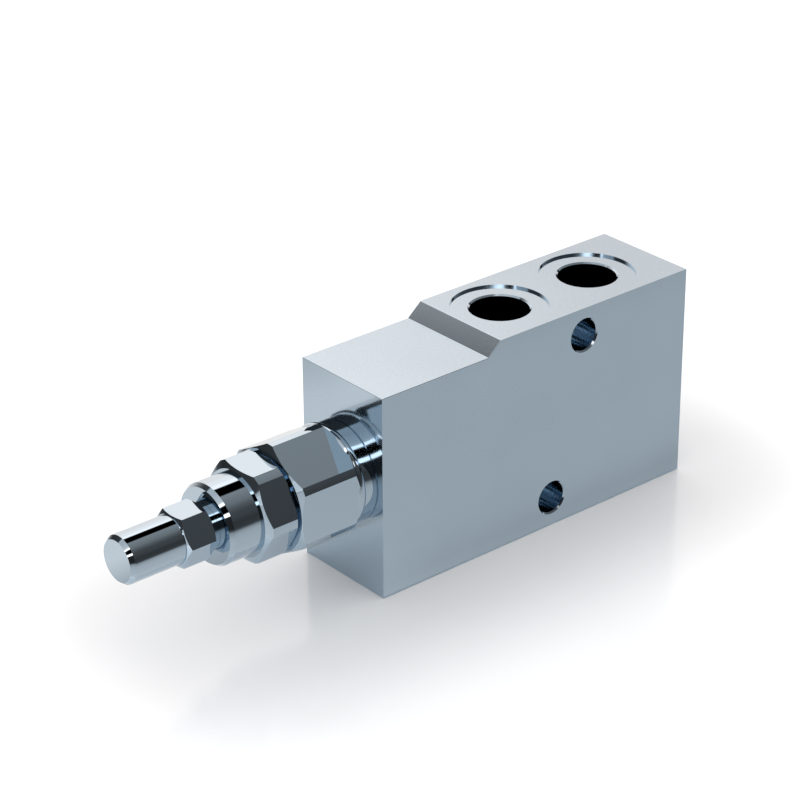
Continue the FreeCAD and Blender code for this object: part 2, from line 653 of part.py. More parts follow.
def add_hole(sketch, index, station):
    """One cross hole of the cage, centred on the axis at its station."""
    centre = FreeCAD.Vector(30 * index - 15, 0, 0)
    circle = sketch.addGeometry(Part.Circle(centre, FreeCAD.Vector(0, 0, 1), 3))
    sketch.addConstraint(Sketcher.Constraint("PointOnObject", circle, 3, -1))
    size = sketch.addConstraint(Sketcher.Constraint("Diameter", circle, 6))
    sketch.renameConstraint(size, f"hole{index}")
    sketch.setExpression(f"Constraints.hole{index}", cells("cage_hole_d"))
    place = sketch.addConstraint(Sketcher.Constraint("DistanceX", -1, 1, circle, 3, centre.x))
    sketch.renameConstraint(place, f"place{index}")
    sketch.setExpression(f"Constraints.place{index}", cells(station))


def poppet_guide():
    outer = "cage_spring_bore_d / 2 - slide_gap"
    inner = "poppet_stem_d / 2 + slide_gap"
    return turned("poppet_guide", [
        (GUIDE_REAR, inner),
        (GUIDE_REAR, outer),
        (GUIDE_FRONT, outer),
        (GUIDE_FRONT, inner),
    ])


def poppet():
    cone_start = f"({SEAT} - seat_gap - (poppet_flange_d - seat_d) / 2)"
    cone_end = f"({SEAT} - seat_gap + (seat_d - poppet_nose_d) / 2)"
    return turned("poppet", [
        (TAIL, "0"),
        (TAIL, "poppet_tail_d / 2"),
        (LOWER_SEAT_FACE, "poppet_tail_d / 2"),
        (LOWER_SEAT_FACE, "poppet_stem_d / 2"),
        (f"{cone_start} - poppet_flange_length", "poppet_stem_d / 2"),
        (f"{cone_start} - poppet_flange_length", "poppet_flange_d / 2"),
        (cone_start, "poppet_flange_d / 2"),
        (cone_end, "poppet_nose_d / 2"),
        (f"{cone_end} + (poppet_nose_d - poppet_rod_d) / 2", "poppet_rod_d / 2"),
        (f"{PISTON} - stop_gap", "poppet_rod_d / 2"),
        (f"{PISTON} - stop_gap", "0"),
    ])


def check_sleeve():
    outer = "sleeve_bore_d / 2 - slide_gap"
    return turned("check_sleeve", [
        (SEAT, "seat_d / 2"),
        (SEAT, outer),
        (SLEEVE_END, outer),
        (SLEEVE_END, "seat_d / 2"),
    ])


def check_spring():
    """Light spring with plain cut ends between the check sleeve and the shelf of the cage."""
    start = f"({SLEEVE_END} + check_spring_gap + check_wire_d / 2)"
    end = f"({SHELF} - check_spring_gap - check_wire_d / 2)"
    pitch = f"(({end} - {start}) / check_turns)"
    return wire_coil("check_spring", start, pitch, "check_turns", "check_coil_d", "check_wire_d")


def sleeve_stop_ring():
    ring = ring_seal(
        "sleeve_stop_ring",
        f"{SEAT} - stop_gap / 2 - stop_wire_d / 2",
        "stop_ring_d",
        "stop_wire_d",
    )
    bind(ring, Angle3="360 - stop_ring_gap_angle")
    return ring


def pilot_piston():
    outer = "pilot_bore_d / 2 - slide_gap"
    groove = f"(({PISTON} + {PISTON_END}) / 2)"
    return turned("pilot_piston", [
        (PISTON, "0"),
        (PISTON, outer),
        (f"{groove} - piston_groove_width / 2", outer),
        (f"{groove} - piston_groove_width / 2", "piston_groove_d / 2"),
        (f"{groove} + piston_groove_width / 2", "piston_groove_d / 2"),
        (f"{groove} + piston_groove_width / 2", outer),
        (PISTON_END, outer),
        (PISTON_END, "0"),
    ])


def piston_clip():
    return turned("piston_retaining_ring", [
        (CLIP, "clip_bore_d / 2"),
        (CLIP, "clip_groove_d / 2 - ring_gap"),
        (f"{CLIP} + clip_thickness", "clip_groove_d / 2 - ring_gap"),
        (f"{CLIP} + clip_thickness", "clip_bore_d / 2"),
    ], angle="360 - clip_gap_angle")


def pilot_orifice():
    body = turned("pilot_orifice", [
        (NOSE_BORE_END, "orifice_hole_d / 2"),
        (NOSE_BORE_END, "orifice_thread_d / 2 - thread_gap"),
        (ORIFICE_END, "orifice_thread_d / 2 - thread_gap"),
        (ORIFICE_END, "orifice_hole_d / 2"),
    ])
    slot = new_sketch(body, "orifice_slot", "XY_Plane")
    add_outline(slot, [
        (NOSE_BORE_END, "-orifice_slot_width / 2"),
        (f"{NOSE_BORE_END} + orifice_slot_depth", "-orifice_slot_width / 2"),
        (f"{NOSE_BORE_END} + orifice_slot_depth", "orifice_slot_width / 2"),
        (NOSE_BORE_END, "orifice_slot_width / 2"),
    ])
    cut = body.newObject("PartDesign::Pocket", "orifice_slot_cut")
    cut.Profile = slot
    cut.Type = "ThroughAll"
    cut.Midplane = True
    return body


# Seals: each fills its groove, apart from the seal gap.

def groove_seals(label, centre, bore_d):
    """An O-ring and its backup ring, side by side in one groove of the cage."""
    section = "(groove_depth - 2 * seal_gap)"
    ring = ring_seal(
        label + "_o_ring",
        f"{centre} - groove_width / 2 + {section} / 2 + (groove_width - backup_width - {section}) / 3",
        f"{bore_d} - groove_depth",
        section,
    )
    backup_start = f"({centre} + groove_width / 2 - backup_width - seal_gap)"
    backup = turned(label + "_backup_ring", [
        (backup_start, f"{bore_d} / 2 - groove_depth + seal_gap"),
        (backup_start, f"{bore_d} / 2 - seal_gap"),
        (f"{backup_start} + backup_width", f"{bore_d} / 2 - seal_gap"),
        (f"{backup_start} + backup_width", f"{bore_d} / 2 - groove_depth + seal_gap"),
    ])
    return ring, backup


def seals():
    flange_section = "(mouth_d - undercut_d) / 2 - 2 * seal_gap"
    screw_section = "(seal_bore_d - screw_groove_d) / 2 - 2 * seal_gap"
    piston_section = "(pilot_bore_d - piston_groove_d) / 2 - 2 * seal_gap"
    nut_seal = f"{BODY_FRONT} - (nut_seal_section_d + stop_gap) / 2"
    screw_seal = f"{SEAL_BORE_END} - screw_groove_setback"
    piston_middle = f"({PISTON} + {PISTON_END}) / 2"
    return [
        ring_seal("flange_o_ring", f"{FACE} + mouth_depth / 2", "(mouth_d + undercut_d) / 2", flange_section),
        ring_seal("lock_nut_seal", nut_seal, "nut_seal_ring_d", "nut_seal_section_d"),
        ring_seal("screw_o_ring", screw_seal, "(seal_bore_d + screw_groove_d) / 2", screw_section),
        ring_seal("piston_seal", piston_middle, "(pilot_bore_d + piston_groove_d) / 2", piston_section),
        *groove_seals("rear", REAR_GROOVE, "rear_bore_d"),
        *groove_seals("middle", MIDDLE_GROOVE, "middle_bore_d"),
        *groove_seals("nose", NOSE_GROOVE, "nose_bore_d"),
    ]


pieces = [
    valve_block(),
    cartridge_body(),
    lock_nut(),
    adjusting_screw(),
    thrust_ball(),
    upper_spring_seat(),
    main_spring(),
    lower_spring_seat(),
    cage(),
    poppet_guide(),
    poppet(),
    check_sleeve(),
    check_spring(),
    sleeve_stop_ring(),
    pilot_piston(),
    piston_clip(),
    pilot_orifice(),
    *seals(),
]

doc.recompute()

for thing in doc.Objects:
    if "Invalid" in thing.State or "Error" in thing.State:
        raise RuntimeError(f"{thing.Label} failed: {thing.State}")
for piece in pieces:
    if piece.Shape.isNull() or not piece.Shape.isValid():
        raise RuntimeError(f"{piece.Label} has no valid shape")

os.makedirs("parts", exist_ok=True)
for piece in pieces:
    piece.Shape.exportStep(f"parts/{piece.Label}.step")
    box = piece.Shape.BoundBox
    print(f"{piece.Label}: {piece.Shape.Volume:.1f} mm3, x {box.XMin:.2f} to {box.XMax:.2f}")
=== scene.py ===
import math

import bpy
from bpy.props import FloatProperty, FloatVectorProperty, PointerProperty
from mathutils import Euler, Matrix, Vector


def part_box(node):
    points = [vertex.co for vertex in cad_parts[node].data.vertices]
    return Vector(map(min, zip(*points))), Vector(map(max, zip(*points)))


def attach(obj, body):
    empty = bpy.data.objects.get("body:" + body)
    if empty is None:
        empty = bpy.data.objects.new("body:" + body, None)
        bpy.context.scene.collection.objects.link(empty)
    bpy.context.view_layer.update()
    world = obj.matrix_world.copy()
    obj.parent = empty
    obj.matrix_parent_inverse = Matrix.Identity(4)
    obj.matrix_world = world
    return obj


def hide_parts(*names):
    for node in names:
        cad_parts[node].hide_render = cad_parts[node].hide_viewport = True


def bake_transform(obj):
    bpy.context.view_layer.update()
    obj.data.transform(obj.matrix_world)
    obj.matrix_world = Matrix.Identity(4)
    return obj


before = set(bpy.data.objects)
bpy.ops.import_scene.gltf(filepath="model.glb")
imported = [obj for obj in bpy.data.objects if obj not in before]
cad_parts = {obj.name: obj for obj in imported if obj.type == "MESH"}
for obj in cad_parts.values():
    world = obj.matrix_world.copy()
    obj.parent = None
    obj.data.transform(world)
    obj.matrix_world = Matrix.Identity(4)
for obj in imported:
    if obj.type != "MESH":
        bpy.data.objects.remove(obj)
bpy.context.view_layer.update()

bl_info = {
    "name": "Counterbalance valve",
    "version": (1, 0, 0),
    "blender": (4, 5, 0),
    "location": "3D View > Sidebar > Valve",
    "description": "Dresses a packed counterbalance valve: plated block, bright cartridge",
    "category": "Object",
}

MM = 0.001

# The block in metres: x runs along it from its middle, z up from its bottom face.
AXIS_HEIGHT = 29.5 * MM
BLOCK_LENGTH = 101.5 * MM
BLOCK_WIDTH = 30 * MM
LOWER_TOP = 54.5 * MM
STEP = 3.5 * MM
SLOPE_END = -13.5 * MM
# Walls within HOLE_REACH of this station or height are the bolt holes', the rest the ports'.
UPPER_HOLE_STATION = 15 * MM
LOWER_HOLE_HEIGHT = 8 * MM
HOLE_REACH = 5 * MM

# How the meshes are merged, broken and smoothed: angles in degrees, lengths in metres.
FLAT_ANGLE = 0.4
SHARP_ANGLE = 30
SMOOTH_ANGLE = 24
SPRING_SMOOTH_ANGLE = 50
MERGE_REACH = 0.002 * MM
LONG_EDGE = 3 * MM
EDGE_SEGMENTS = 2

# The cartridge in millimetres: lengths along the axis, radii and widths across flats. Turns and
# angles are in degrees.
BODY_REACH = 23.1
BODY_HEX_LENGTH = 16.4
BODY_AF = 26.5
BODY_CORNER = 14.75
BODY_FACE = 13.1
BODY_TURN = 31.0
BEAD_REACH = 4.9
BEAD_RING = 12.0
BEAD_SECTION = 1.7
NECK = 13.1
NECK_RIM = 0.25
MOUTH_DEPTH = 2.4
UNDERCUT = 10.6
BODY_THREAD = 10.95
BODY_THREAD_DEPTH = 16.4
CAGE_BORE = 8.05
CAGE_REAR = 9.9
SPRING_BORE = 7
SEAL_BORE = 5.55
SEAL_BORE_END = 17.1
THREAD_GRIP = 8.5
SCREW_BORE = 6.05

COLLAR = 10.35
COLLAR_LENGTH = 9.2
COLLAR_CHAMFER_LENGTH = 1.2
COLLAR_CHAMFER_DEPTH = 0.7
NUT_LENGTH = 9.3
NUT_AF = 23.5
NUT_CORNER = 12.95
NUT_FACE = 11.1
NUT_TURN = 61.5
NUT_POCKET = 7.9
NUT_POCKET_DEPTH = 1.8

TIP = 6.1
TIP_LENGTH = 15.2
TIP_FACE = 5.3
TIP_CHAMFER_LENGTH = 1.1
SMALL_LENGTH = 8.2
SMALL_AF = 13.0
SMALL_FACE = 6.3
SMALL_TURN = 0.0
SCREW_THREAD = 6.0
SCREW_SHANK = 5.52
SCREW_NOSE = 3.3
SEAL_BORE_LENGTH = 8.6
THREAD_SPARE = 0.6
GROOVE_SETBACK = 2.4
GROOVE_HALF_WIDTH = 1
GROOVE = 4.1
BALL_CUP = 2.55
BALL_CUP_DEPTH = 1.3

CHAMFER_ANGLE = 30
TURN_STEPS = 144
BEAD_STEPS = 48
CUTTER_RADIUS = 20.0
CUTTER_SIDES = 64
CUTTER_OVERSHOOT = 1

# The stretch of a noise value that is spread over a range of the shader.
NOISE_RANGE = (("From Min", 0.3), ("From Max", 0.7))

# The floor's painted glow starts to rise to white at a distance from a flat box round the valve,
# in metres; close to the valve it stays low, as painted shade.
FADE_CENTRE = (-20 * MM, 0, 0)
FADE_CORE = (70 * MM, 10 * MM, 0)
FADE_START = 15 * MM
FADE_END = 60 * MM
FADE_GLOW = (0.02, 0.24)
FLOOR_SIDES = 96

# The tent's tone round the valve: degrees from straight behind it, over the top, and brightness.
BLOCK_END_STOPS = (
    (-180, 0.07), (-175, 0.10), (-169, 0.50), (-163, 0.66), (-146, 0.665), (-135, 0.64),
    (-124, 0.57), (-110, 0.60), (-95, 0.58), (-84, 0.54), (-70, 0.45), (-55, 0.56), (-40, 0.68),
    (-26, 0.80), (-14, 1.0), (-2, 1.10), (10, 1.23), (22, 1.30), (34, 1.46), (46, 1.52),
    (52, 1.75), (61, 1.75), (63, 0.0), (88, 0.0), (90.5, 0.40), (106, 0.33), (118, 0.28),
    (130, 0.17), (142, 0.105), (155, 0.09), (167, 0.06), (180, 0.07),
)
CARTRIDGE_END_STOPS = (
    (-180, 0.03), (-175, 0.1), (-169, 0.50), (-157, 0.72), (-145, 0.78), (-133, 0.80),
    (-120, 0.90), (-108, 0.93), (-97, 0.88), (-84, 0.84), (-72, 0.72), (-60, 0.50), (-43, 0.68),
    (-34, 1.08), (-20, 1.0), (-13, 0.60), (-7, 0.10), (0, 0.04), (55, 0.07), (58.5, 0.80),
    (75, 0.75), (100, 0.94), (107, 1.2), (109, 3.4), (114, 3.4), (116, 0.0), (136, 0.0),
    (138.5, 3.6), (145, 3.6), (147.5, 0.03), (180, 0.03),
)
# Above WARM_FROM a tone gains warmth at WARM_RATE, up to WARM_LIMIT: more red and less blue.
WARM_FROM = 0.85
WARM_RATE = 0.3
WARM_LIMIT = 0.13
WARM_RED = 0.85
WARM_BLUE = 0.5
TENT_STRENGTH = 4.0
TENT_SIDES = 128
TENT_BLEND = (-135 * MM, 10 * MM)
# Behind the valve the cloth darkens to this share from one station to another.
FAR_SHADE = 0.72
FAR_SHADE_REACH = (80 * MM, 240 * MM)
HEM_TOLERANCE = 0.01 * MM
SENSOR_WIDTH = 36.0


def linear(code):
    """An sRGB hex colour as the linear red, green and blue that Blender's sockets take."""
    shares = [int(code[i:i + 2], 16) / 255 for i in (0, 2, 4)]
    return tuple(c / 12.92 if c <= 0.04045 else ((c + 0.055) / 1.055) ** 2.4 for c in shares)


# Sizes and colours that a user would change.

class ValveSizes(bpy.types.PropertyGroup):
    block_edge: FloatProperty(
        name="Block edge break", description="Width of the broken edges of the block",
        default=0.12 * MM, min=0.0, subtype="DISTANCE", unit="LENGTH",
    )
    axis_height: FloatProperty(
        name="Axis height", description="Cartridge axis above the bottom of the block",
        default=AXIS_HEIGHT, subtype="DISTANCE", unit="LENGTH",
    )


class ValveFinishes(bpy.types.PropertyGroup):
    block_colour: FloatVectorProperty(
        name="Block plating", description="Satin plate on the milled block",
        default=linear("AFC0CD"), min=0.0, max=1.0, subtype="COLOR",
    )
    block_roughness: FloatProperty(
        name="Block roughness", description="Roughness of the satin plate",
        default=0.10, min=0.0, max=1.0,
    )
    bright_colour: FloatVectorProperty(
        name="Cartridge plating", description="Bright plate on the turned cartridge pieces",
        default=linear("AFC0CD"), min=0.0, max=1.0, subtype="COLOR",
    )
    bright_roughness: FloatProperty(
        name="Cartridge roughness", description="Roughness of the bright plate",
        default=0.03, min=0.0, max=1.0,
    )


class StudioSettings(bpy.types.PropertyGroup):
    floor_radius: FloatProperty(
        name="Floor radius", description="Size of the pale floor",
        default=6.0, subtype="DISTANCE", unit="LENGTH",
    )
    sky_strength: FloatProperty(
        name="Sky strength", description="Plain white light from all round", default=1.0, min=0.0,
    )
    tent_radius: FloatProperty(
        name="Tent radius", description="Radius of the light tent round the valve",
        default=260 * MM, subtype="DISTANCE", unit="LENGTH",
    )
    tent_length: FloatProperty(
        name="Tent length", description="Length of the light tent along the valve",
        default=4.0, subtype="DISTANCE", unit="LENGTH",
    )
    hem_gap: FloatProperty(
        name="Hem gap", description="From the valve's middle to the tent's flat hem on each side",
        default=15.2 * MM, subtype="DISTANCE", unit="LENGTH",
    )
    hem_height: FloatProperty(
        name="Hem height", description="The tent's flat hem above the floor",
        default=0.4 * MM, subtype="DISTANCE", unit="LENGTH",
    )
    camera_lens: FloatProperty(
        name="Lens", description="Focal length on a 36 mm sensor, in millimetres", default=123.23,
    )
    camera_place: FloatVectorProperty(
        name="Camera place", description="Where the camera stands",
        default=(-0.41630, -0.45477, 0.34563), subtype="TRANSLATION", unit="LENGTH",
    )
    camera_turn: FloatVectorProperty(
        name="Camera turn", description="Yaw to the right, pitch down and roll of the camera",
        default=(math.radians(40.160), math.radians(26.994), math.radians(-0.346)),
        subtype="EULER", unit="ROTATION",
    )


# Small tools.

def deselect():
    """Leave nothing selected, because an operator acts on all that is."""
    bpy.ops.object.select_all(action="DESELECT")


def pick(thing):
    """Make one object the only selected one, and the active one."""
    deselect()
    thing.select_set(True)
    bpy.context.view_layer.objects.active = thing


def add_node(tree, kind, settings=(), links=()):
    """Add a node with its settings and links: pairs of a name or number, and a value or source."""
    node = tree.nodes.new("ShaderNode" + kind)
    for name, value in settings:
        if isinstance(name, int) or name in node.inputs:
            node.inputs[name].default_value = value
        else:
            setattr(node, name, value)
    for name, source in links:
        tree.links.new(source, node.inputs[name])
    return node


def new_material(name):
    """An empty node material, with its tree and its output node."""
    material = bpy.data.materials.new(name)
    material.use_nodes = True
    tree = material.node_tree
    tree.nodes.clear()
    return material, tree, tree.nodes.new("ShaderNodeOutputMaterial")


# Materials.

def turning_vector(tree):
    """Station along the axis and distance from it, so that noise runs as the lathe's marks do."""
    place = add_node(tree, "TexCoord").outputs["Object"]
    centred = add_node(tree, "Mapping", [("Location", (0, 0, -AXIS_HEIGHT))], [("Vector", place)])
    parts = add_node(tree, "SeparateXYZ", (), [("Vector", centred.outputs["Vector"])]).outputs
    across = add_node(tree, "CombineXYZ", (), [("Y", parts["Y"]), ("Z", parts["Z"])])
    radius = add_node(
        tree, "VectorMath", [("operation", "LENGTH")], [(0, across.outputs["Vector"])],
    )
    both = add_node(tree, "CombineXYZ", (), [("X", parts["X"]), ("Y", radius.outputs["Value"])])
    return both.outputs["Vector"]


def marked_skin(tree, vector, size, softness, depth, strength, roughness):
    """Fine marks of one real size: their noise, their bump, and the roughness they give."""
    noise = add_node(
        tree, "TexNoise", [("Scale", 1 / size), ("Detail", 3.0), ("Roughness", softness)],
        [("Vector", vector)],
    ).outputs["Fac"]
    bump = add_node(
        tree, "Bump", [("Strength", strength), ("Distance", depth)], [("Height", noise)],
    )
    rough = add_node(
        tree, "MapRange", [*NOISE_RANGE, ("To Min", roughness[0]), ("To Max", roughness[1])],
        [("Value", noise)],
    )
    return noise, bump.outputs["Normal"], rough.outputs["Result"]


def away_from(tree, value, centre, reach):
    """One where a coordinate lies farther than a reach from a centre."""
    distance = add_node(
        tree, "Math", [("operation", "SUBTRACT"), (1, centre)], [(0, value)],
    ).outputs["Value"]
    size = add_node(tree, "Math", [("operation", "ABSOLUTE")], [(0, distance)]).outputs["Value"]
    test = add_node(tree, "Math", [("operation", "GREATER_THAN"), (1, reach)], [(0, size)])
    return test.outputs["Value"]


def block_skin(tree, parts):
    """One on the block's outer faces, from its Object coordinates, and zero in its holes."""
    depth = 1.1 * MM
    # The lower top face ends at the slope, so the skin's height depends on the station.
    raised = add_node(
        tree, "Math", [("operation", "GREATER_THAN"), (1, SLOPE_END)], [(0, parts["X"])],
    )
    height = add_node(
        tree, "Math", [("operation", "MULTIPLY_ADD"), (1, -STEP)],
        [(0, raised.outputs["Value"]), (2, parts["Z"])],
    ).outputs["Value"]
    ends = away_from(tree, parts["X"], 0.0, BLOCK_LENGTH / 2 - depth)
    sides = away_from(tree, parts["Y"], 0.0, BLOCK_WIDTH / 2 - depth)
    levels = away_from(tree, height, LOWER_TOP / 2, LOWER_TOP / 2 - depth)
    walls = add_node(tree, "Math", [("operation", "MAXIMUM")], [(0, ends), (1, sides)])
    skin = add_node(
        tree, "Math", [("operation", "MAXIMUM")], [(0, walls.outputs["Value"]), (1, levels)],
    )
    return skin.outputs["Value"]


def painted_port_shade(tree, parts, skin):
    """Where shade is painted into the plate: one on the walls of the ports and their cavity, and
    zero in the bolt holes and outside.
    """
    beside_upper = away_from(tree, parts["X"], UPPER_HOLE_STATION, HOLE_REACH)
    above_lower = away_from(tree, parts["Z"], LOWER_HOLE_HEIGHT, HOLE_REACH)
    port = add_node(
        tree, "Math", [("operation", "MULTIPLY")], [(0, beside_upper), (1, above_lower)],
    )
    inside = add_node(tree, "Math", [("operation", "SUBTRACT"), (0, 1.0)], [(1, skin)])
    shade_share = add_node(
        tree, "Math", [("operation", "MULTIPLY")],
        [(0, inside.outputs["Value"]), (1, port.outputs["Value"])],
    )
    return shade_share.outputs["Value"]


def satin_plate(finish):
    """Zinc plated mild steel, milled and plated in a drum: satin, cool, with a fine even grain."""
    cloud_size = 25 * MM
    # The real grain is about 0.05 mm; it is drawn coarser, so that it shows.
    speckle_size = 0.30 * MM
    speckle_share = 0.75
    tone_spread = 0.08
    roughness_spread = 0.04
    # Dark tone of painted shade for the port walls.
    port_shade_tone = linear("5A636C")

    material, tree, output = new_material("zinc_plated_milled_steel")
    place = add_node(tree, "TexCoord").outputs["Object"]
    parts = add_node(tree, "SeparateXYZ", (), [("Vector", place)]).outputs
    skin = block_skin(tree, parts)
    cloud = add_node(
        tree, "TexNoise", [("Scale", 1 / cloud_size), ("Detail", 3.0), ("Roughness", 0.5)],
        [("Vector", place)],
    )
    cloudy = add_node(
        tree, "MapRange", [*NOISE_RANGE, ("To Min", 0), ("To Max", 1 - speckle_share)],
        [("Value", cloud.outputs["Fac"])],
    )
    fine = add_node(
        tree, "TexNoise", [("Scale", 1 / speckle_size), ("Detail", 2.0), ("Roughness", 0.6)],
        [("Vector", place)],
    ).outputs["Fac"]
    specks = add_node(
        tree, "MapRange", [*NOISE_RANGE, ("To Min", 0), ("To Max", 1)], [("Value", fine)],
    )
    mottle = add_node(
        tree, "Math", [("operation", "MULTIPLY_ADD"), (1, speckle_share)],
        [(0, specks.outputs["Result"]), (2, cloudy.outputs["Result"])],
    )
    colour = Vector(finish.block_colour)
    plate = add_node(
        tree, "MixRGB",
        [("Color1", (*colour * (1 - tone_spread), 1)),
         ("Color2", (*colour * (1 + tone_spread), 1))],
        [("Fac", mottle.outputs["Value"])],
    )
    # In the ports the plate gets painted shade, a dark tone for the shade in the deep bores; the
    # bolt holes stay bright.
    tone = add_node(
        tree, "MixRGB", [("Color2", (*port_shade_tone, 1))],
        [("Fac", painted_port_shade(tree, parts, skin)), ("Color1", plate.outputs["Color"])],
    )
    strength = add_node(tree, "Math", [("operation", "MULTIPLY"), (1, 0.02)], [(0, skin)])
    bump = add_node(
        tree, "Bump", [("Distance", 0.02 * MM)],
        [("Height", fine), ("Strength", strength.outputs["Value"])],
    )
    uneven = add_node(
        tree, "MapRange",
        [*NOISE_RANGE, ("To Min", -roughness_spread), ("To Max", roughness_spread)],
        [("Value", fine)],
    )
    rough = add_node(
        tree, "Math", [("operation", "MULTIPLY_ADD"), (2, finish.block_roughness)],
        [(0, uneven.outputs["Result"]), (1, skin)],
    )
    shader = add_node(
        tree, "BsdfPrincipled", [("Metallic", 1.0)],
        [("Base Color", tone.outputs["Color"]), ("Roughness", rough.outputs["Value"]),
         ("Normal", bump.outputs["Normal"])],
    )
    tree.links.new(shader.outputs["BSDF"], output.inputs["Surface"])
    return material


def bright_plate(finish):
    """Bright plated turned steel: nearly a mirror, with the faint rings that the tool left."""
    material, tree, output = new_material("bright_plated_turned_steel")
    # The real rings are about 0.1 mm apart; they are drawn coarser, so that they show.
    _, normal, rough = marked_skin(
        tree, turning_vector(tree), size=0.35 * MM, softness=0.5, depth=0.01 * MM, strength=0.02,
        roughness=(finish.bright_roughness * 0.7, finish.bright_roughness * 1.5),
    )
    shader = add_node(
        tree, "BsdfPrincipled", [("Metallic", 1.0), ("Base Color", (*finish.bright_colour, 1))],
        [("Roughness", rough), ("Normal", normal)],
    )
    tree.links.new(shader.outputs["BSDF"], output.inputs["Surface"])
    return material


def plain_steel(name, code, roughness, ring_size):
    """Bare, oiled or phosphated steel of the working parts, with turning or grinding marks."""
    material, tree, output = new_material(name)
    _, normal, rough = marked_skin(
        tree, turning_vector(tree), size=ring_size, softness=0.6, depth=0.01 * MM, strength=0.2,
        roughness=(roughness * 0.75, roughness * 1.3),
    )
    shader = add_node(
        tree, "BsdfPrincipled", [("Metallic", 1.0), ("Base Color", (*linear(code), 1))],
        [("Roughness", rough), ("Normal", normal)],
    )
    tree.links.new(shader.outputs["BSDF"], output.inputs["Surface"])
    return material


def moulded(name, codes, roughness, size):
    """A moulded seal, in nitrile rubber or PTFE: two close tones and a fine matt skin."""
    material, tree, output = new_material(name)
    place = add_node(tree, "TexCoord").outputs["Object"]
    noise, normal, rough = marked_skin(
        tree, place, size=size, softness=0.6, depth=0.02 * MM, strength=0.3,
        roughness=(roughness - 0.06, roughness + 0.06),
    )
    share = add_node(
        tree, "MapRange", [*NOISE_RANGE, ("To Min", 0), ("To Max", 1)], [("Value", noise)],
    )
    tone = add_node(
        tree, "MixRGB", [("Color1", (*linear(codes[0]), 1)), ("Color2", (*linear(codes[1]), 1))],
        [("Fac", share.outputs["Result"])],
    )
    shader = add_node(
        tree, "BsdfPrincipled", (),
        [("Base Color", tone.outputs["Color"]), ("Roughness", rough), ("Normal", normal)],
    )
    tree.links.new(shader.outputs["BSDF"], output.inputs["Surface"])
    return material


def camera_or_mirror(tree):
    """One where the camera sees a surface, straight or in metal or glass."""
    ray = add_node(tree, "LightPath").outputs
    straight = add_node(
        tree, "Math", [("operation", "MAXIMUM")],
        [(0, ray["Is Camera Ray"]), (1, ray["Is Glossy Ray"])],
    )
    seen = add_node(
        tree, "Math", [("operation", "MAXIMUM")],
        [(0, straight.outputs["Value"]), (1, ray["Is Transmission Ray"])],
    )
    return seen.outputs["Value"]


def pale_floor():
    """White lacquered board, sprayed and rubbed down: a soft shadow, deepened near the valve by
    painted shade, and a faint mirror image.
    """
    material, tree, output = new_material("white_lacquered_board")
    place = add_node(tree, "TexCoord").outputs["Object"]
    mottle = add_node(
        tree, "TexNoise", [("Scale", 1 / (60 * MM)), ("Detail", 2.0), ("Roughness", 0.5)],
        [("Vector", place)],
    )
    share = add_node(
        tree, "MapRange", [*NOISE_RANGE, ("To Min", 0), ("To Max", 1)],
        [("Value", mottle.outputs["Fac"])],
    )
    tone = add_node(
        tree, "MixRGB", [("Color1", (*linear("F4F5F7"), 1)), ("Color2", (*linear("F7F8FA"), 1))],
        [("Fac", share.outputs["Result"])],
    )
    # The board gets a painted glow for camera and mirror rays that rises to plain white away from
    # the valve and stays low close to it, as painted shade.
    centred = add_node(
        tree, "VectorMath", [("operation", "SUBTRACT"), (1, FADE_CENTRE)], [(0, place)],
    )
    mirrored = add_node(
        tree, "VectorMath", [("operation", "ABSOLUTE")], [(0, centred.outputs["Vector"])],
    )
    beyond = add_node(
        tree, "VectorMath", [("operation", "SUBTRACT"), (1, FADE_CORE)],
        [(0, mirrored.outputs["Vector"])],
    )
    outside = add_node(
        tree, "VectorMath", [("operation", "MAXIMUM"), (1, (0, 0, 0))],
        [(0, beyond.outputs["Vector"])],
    )
    away = add_node(
        tree, "VectorMath", [("operation", "LENGTH")], [(0, outside.outputs["Vector"])],
    )
    fade = add_node(
        tree, "MapRange",
        [("interpolation_type", "SMOOTHSTEP"), ("From Min", FADE_START), ("From Max", FADE_END),
         ("To Min", FADE_GLOW[0]), ("To Max", FADE_GLOW[1])],
        [("Value", away.outputs["Value"])],
    )
    lift = add_node(
        tree, "Math", [("operation", "MULTIPLY")],
        [(0, fade.outputs["Result"]), (1, camera_or_mirror(tree))],
    )
    shader = add_node(
        tree, "BsdfPrincipled", [("Roughness", 0.16), ("Emission Color", (1, 1, 1, 1))],
        [("Base Color", tone.outputs["Color"]), ("Emission Strength", lift.outputs["Value"])],
    )
    tree.links.new(shader.outputs["BSDF"], output.inputs["Surface"])
    return material


def tone_ramp(tree, share, stops):
    """The tent's tones over one turn round the valve; the brightest are a little warmer."""
    ramp = add_node(tree, "ValToRGB", (), [("Fac", share)])
    cells = ramp.color_ramp.elements
    cells.remove(cells[1])
    for degrees, tone in stops:
        warmth = min(WARM_RATE * max(tone - WARM_FROM, 0), WARM_LIMIT)
        colour = [tone * (1 + WARM_RED * warmth), tone, tone * (1 - WARM_BLUE * warmth)]
        cell = cells[0] if degrees == -180 else cells.new((degrees + 180) / 360)
        cell.color = (*[part / TENT_STRENGTH for part in colour], 1)
    return ramp.outputs["Color"]


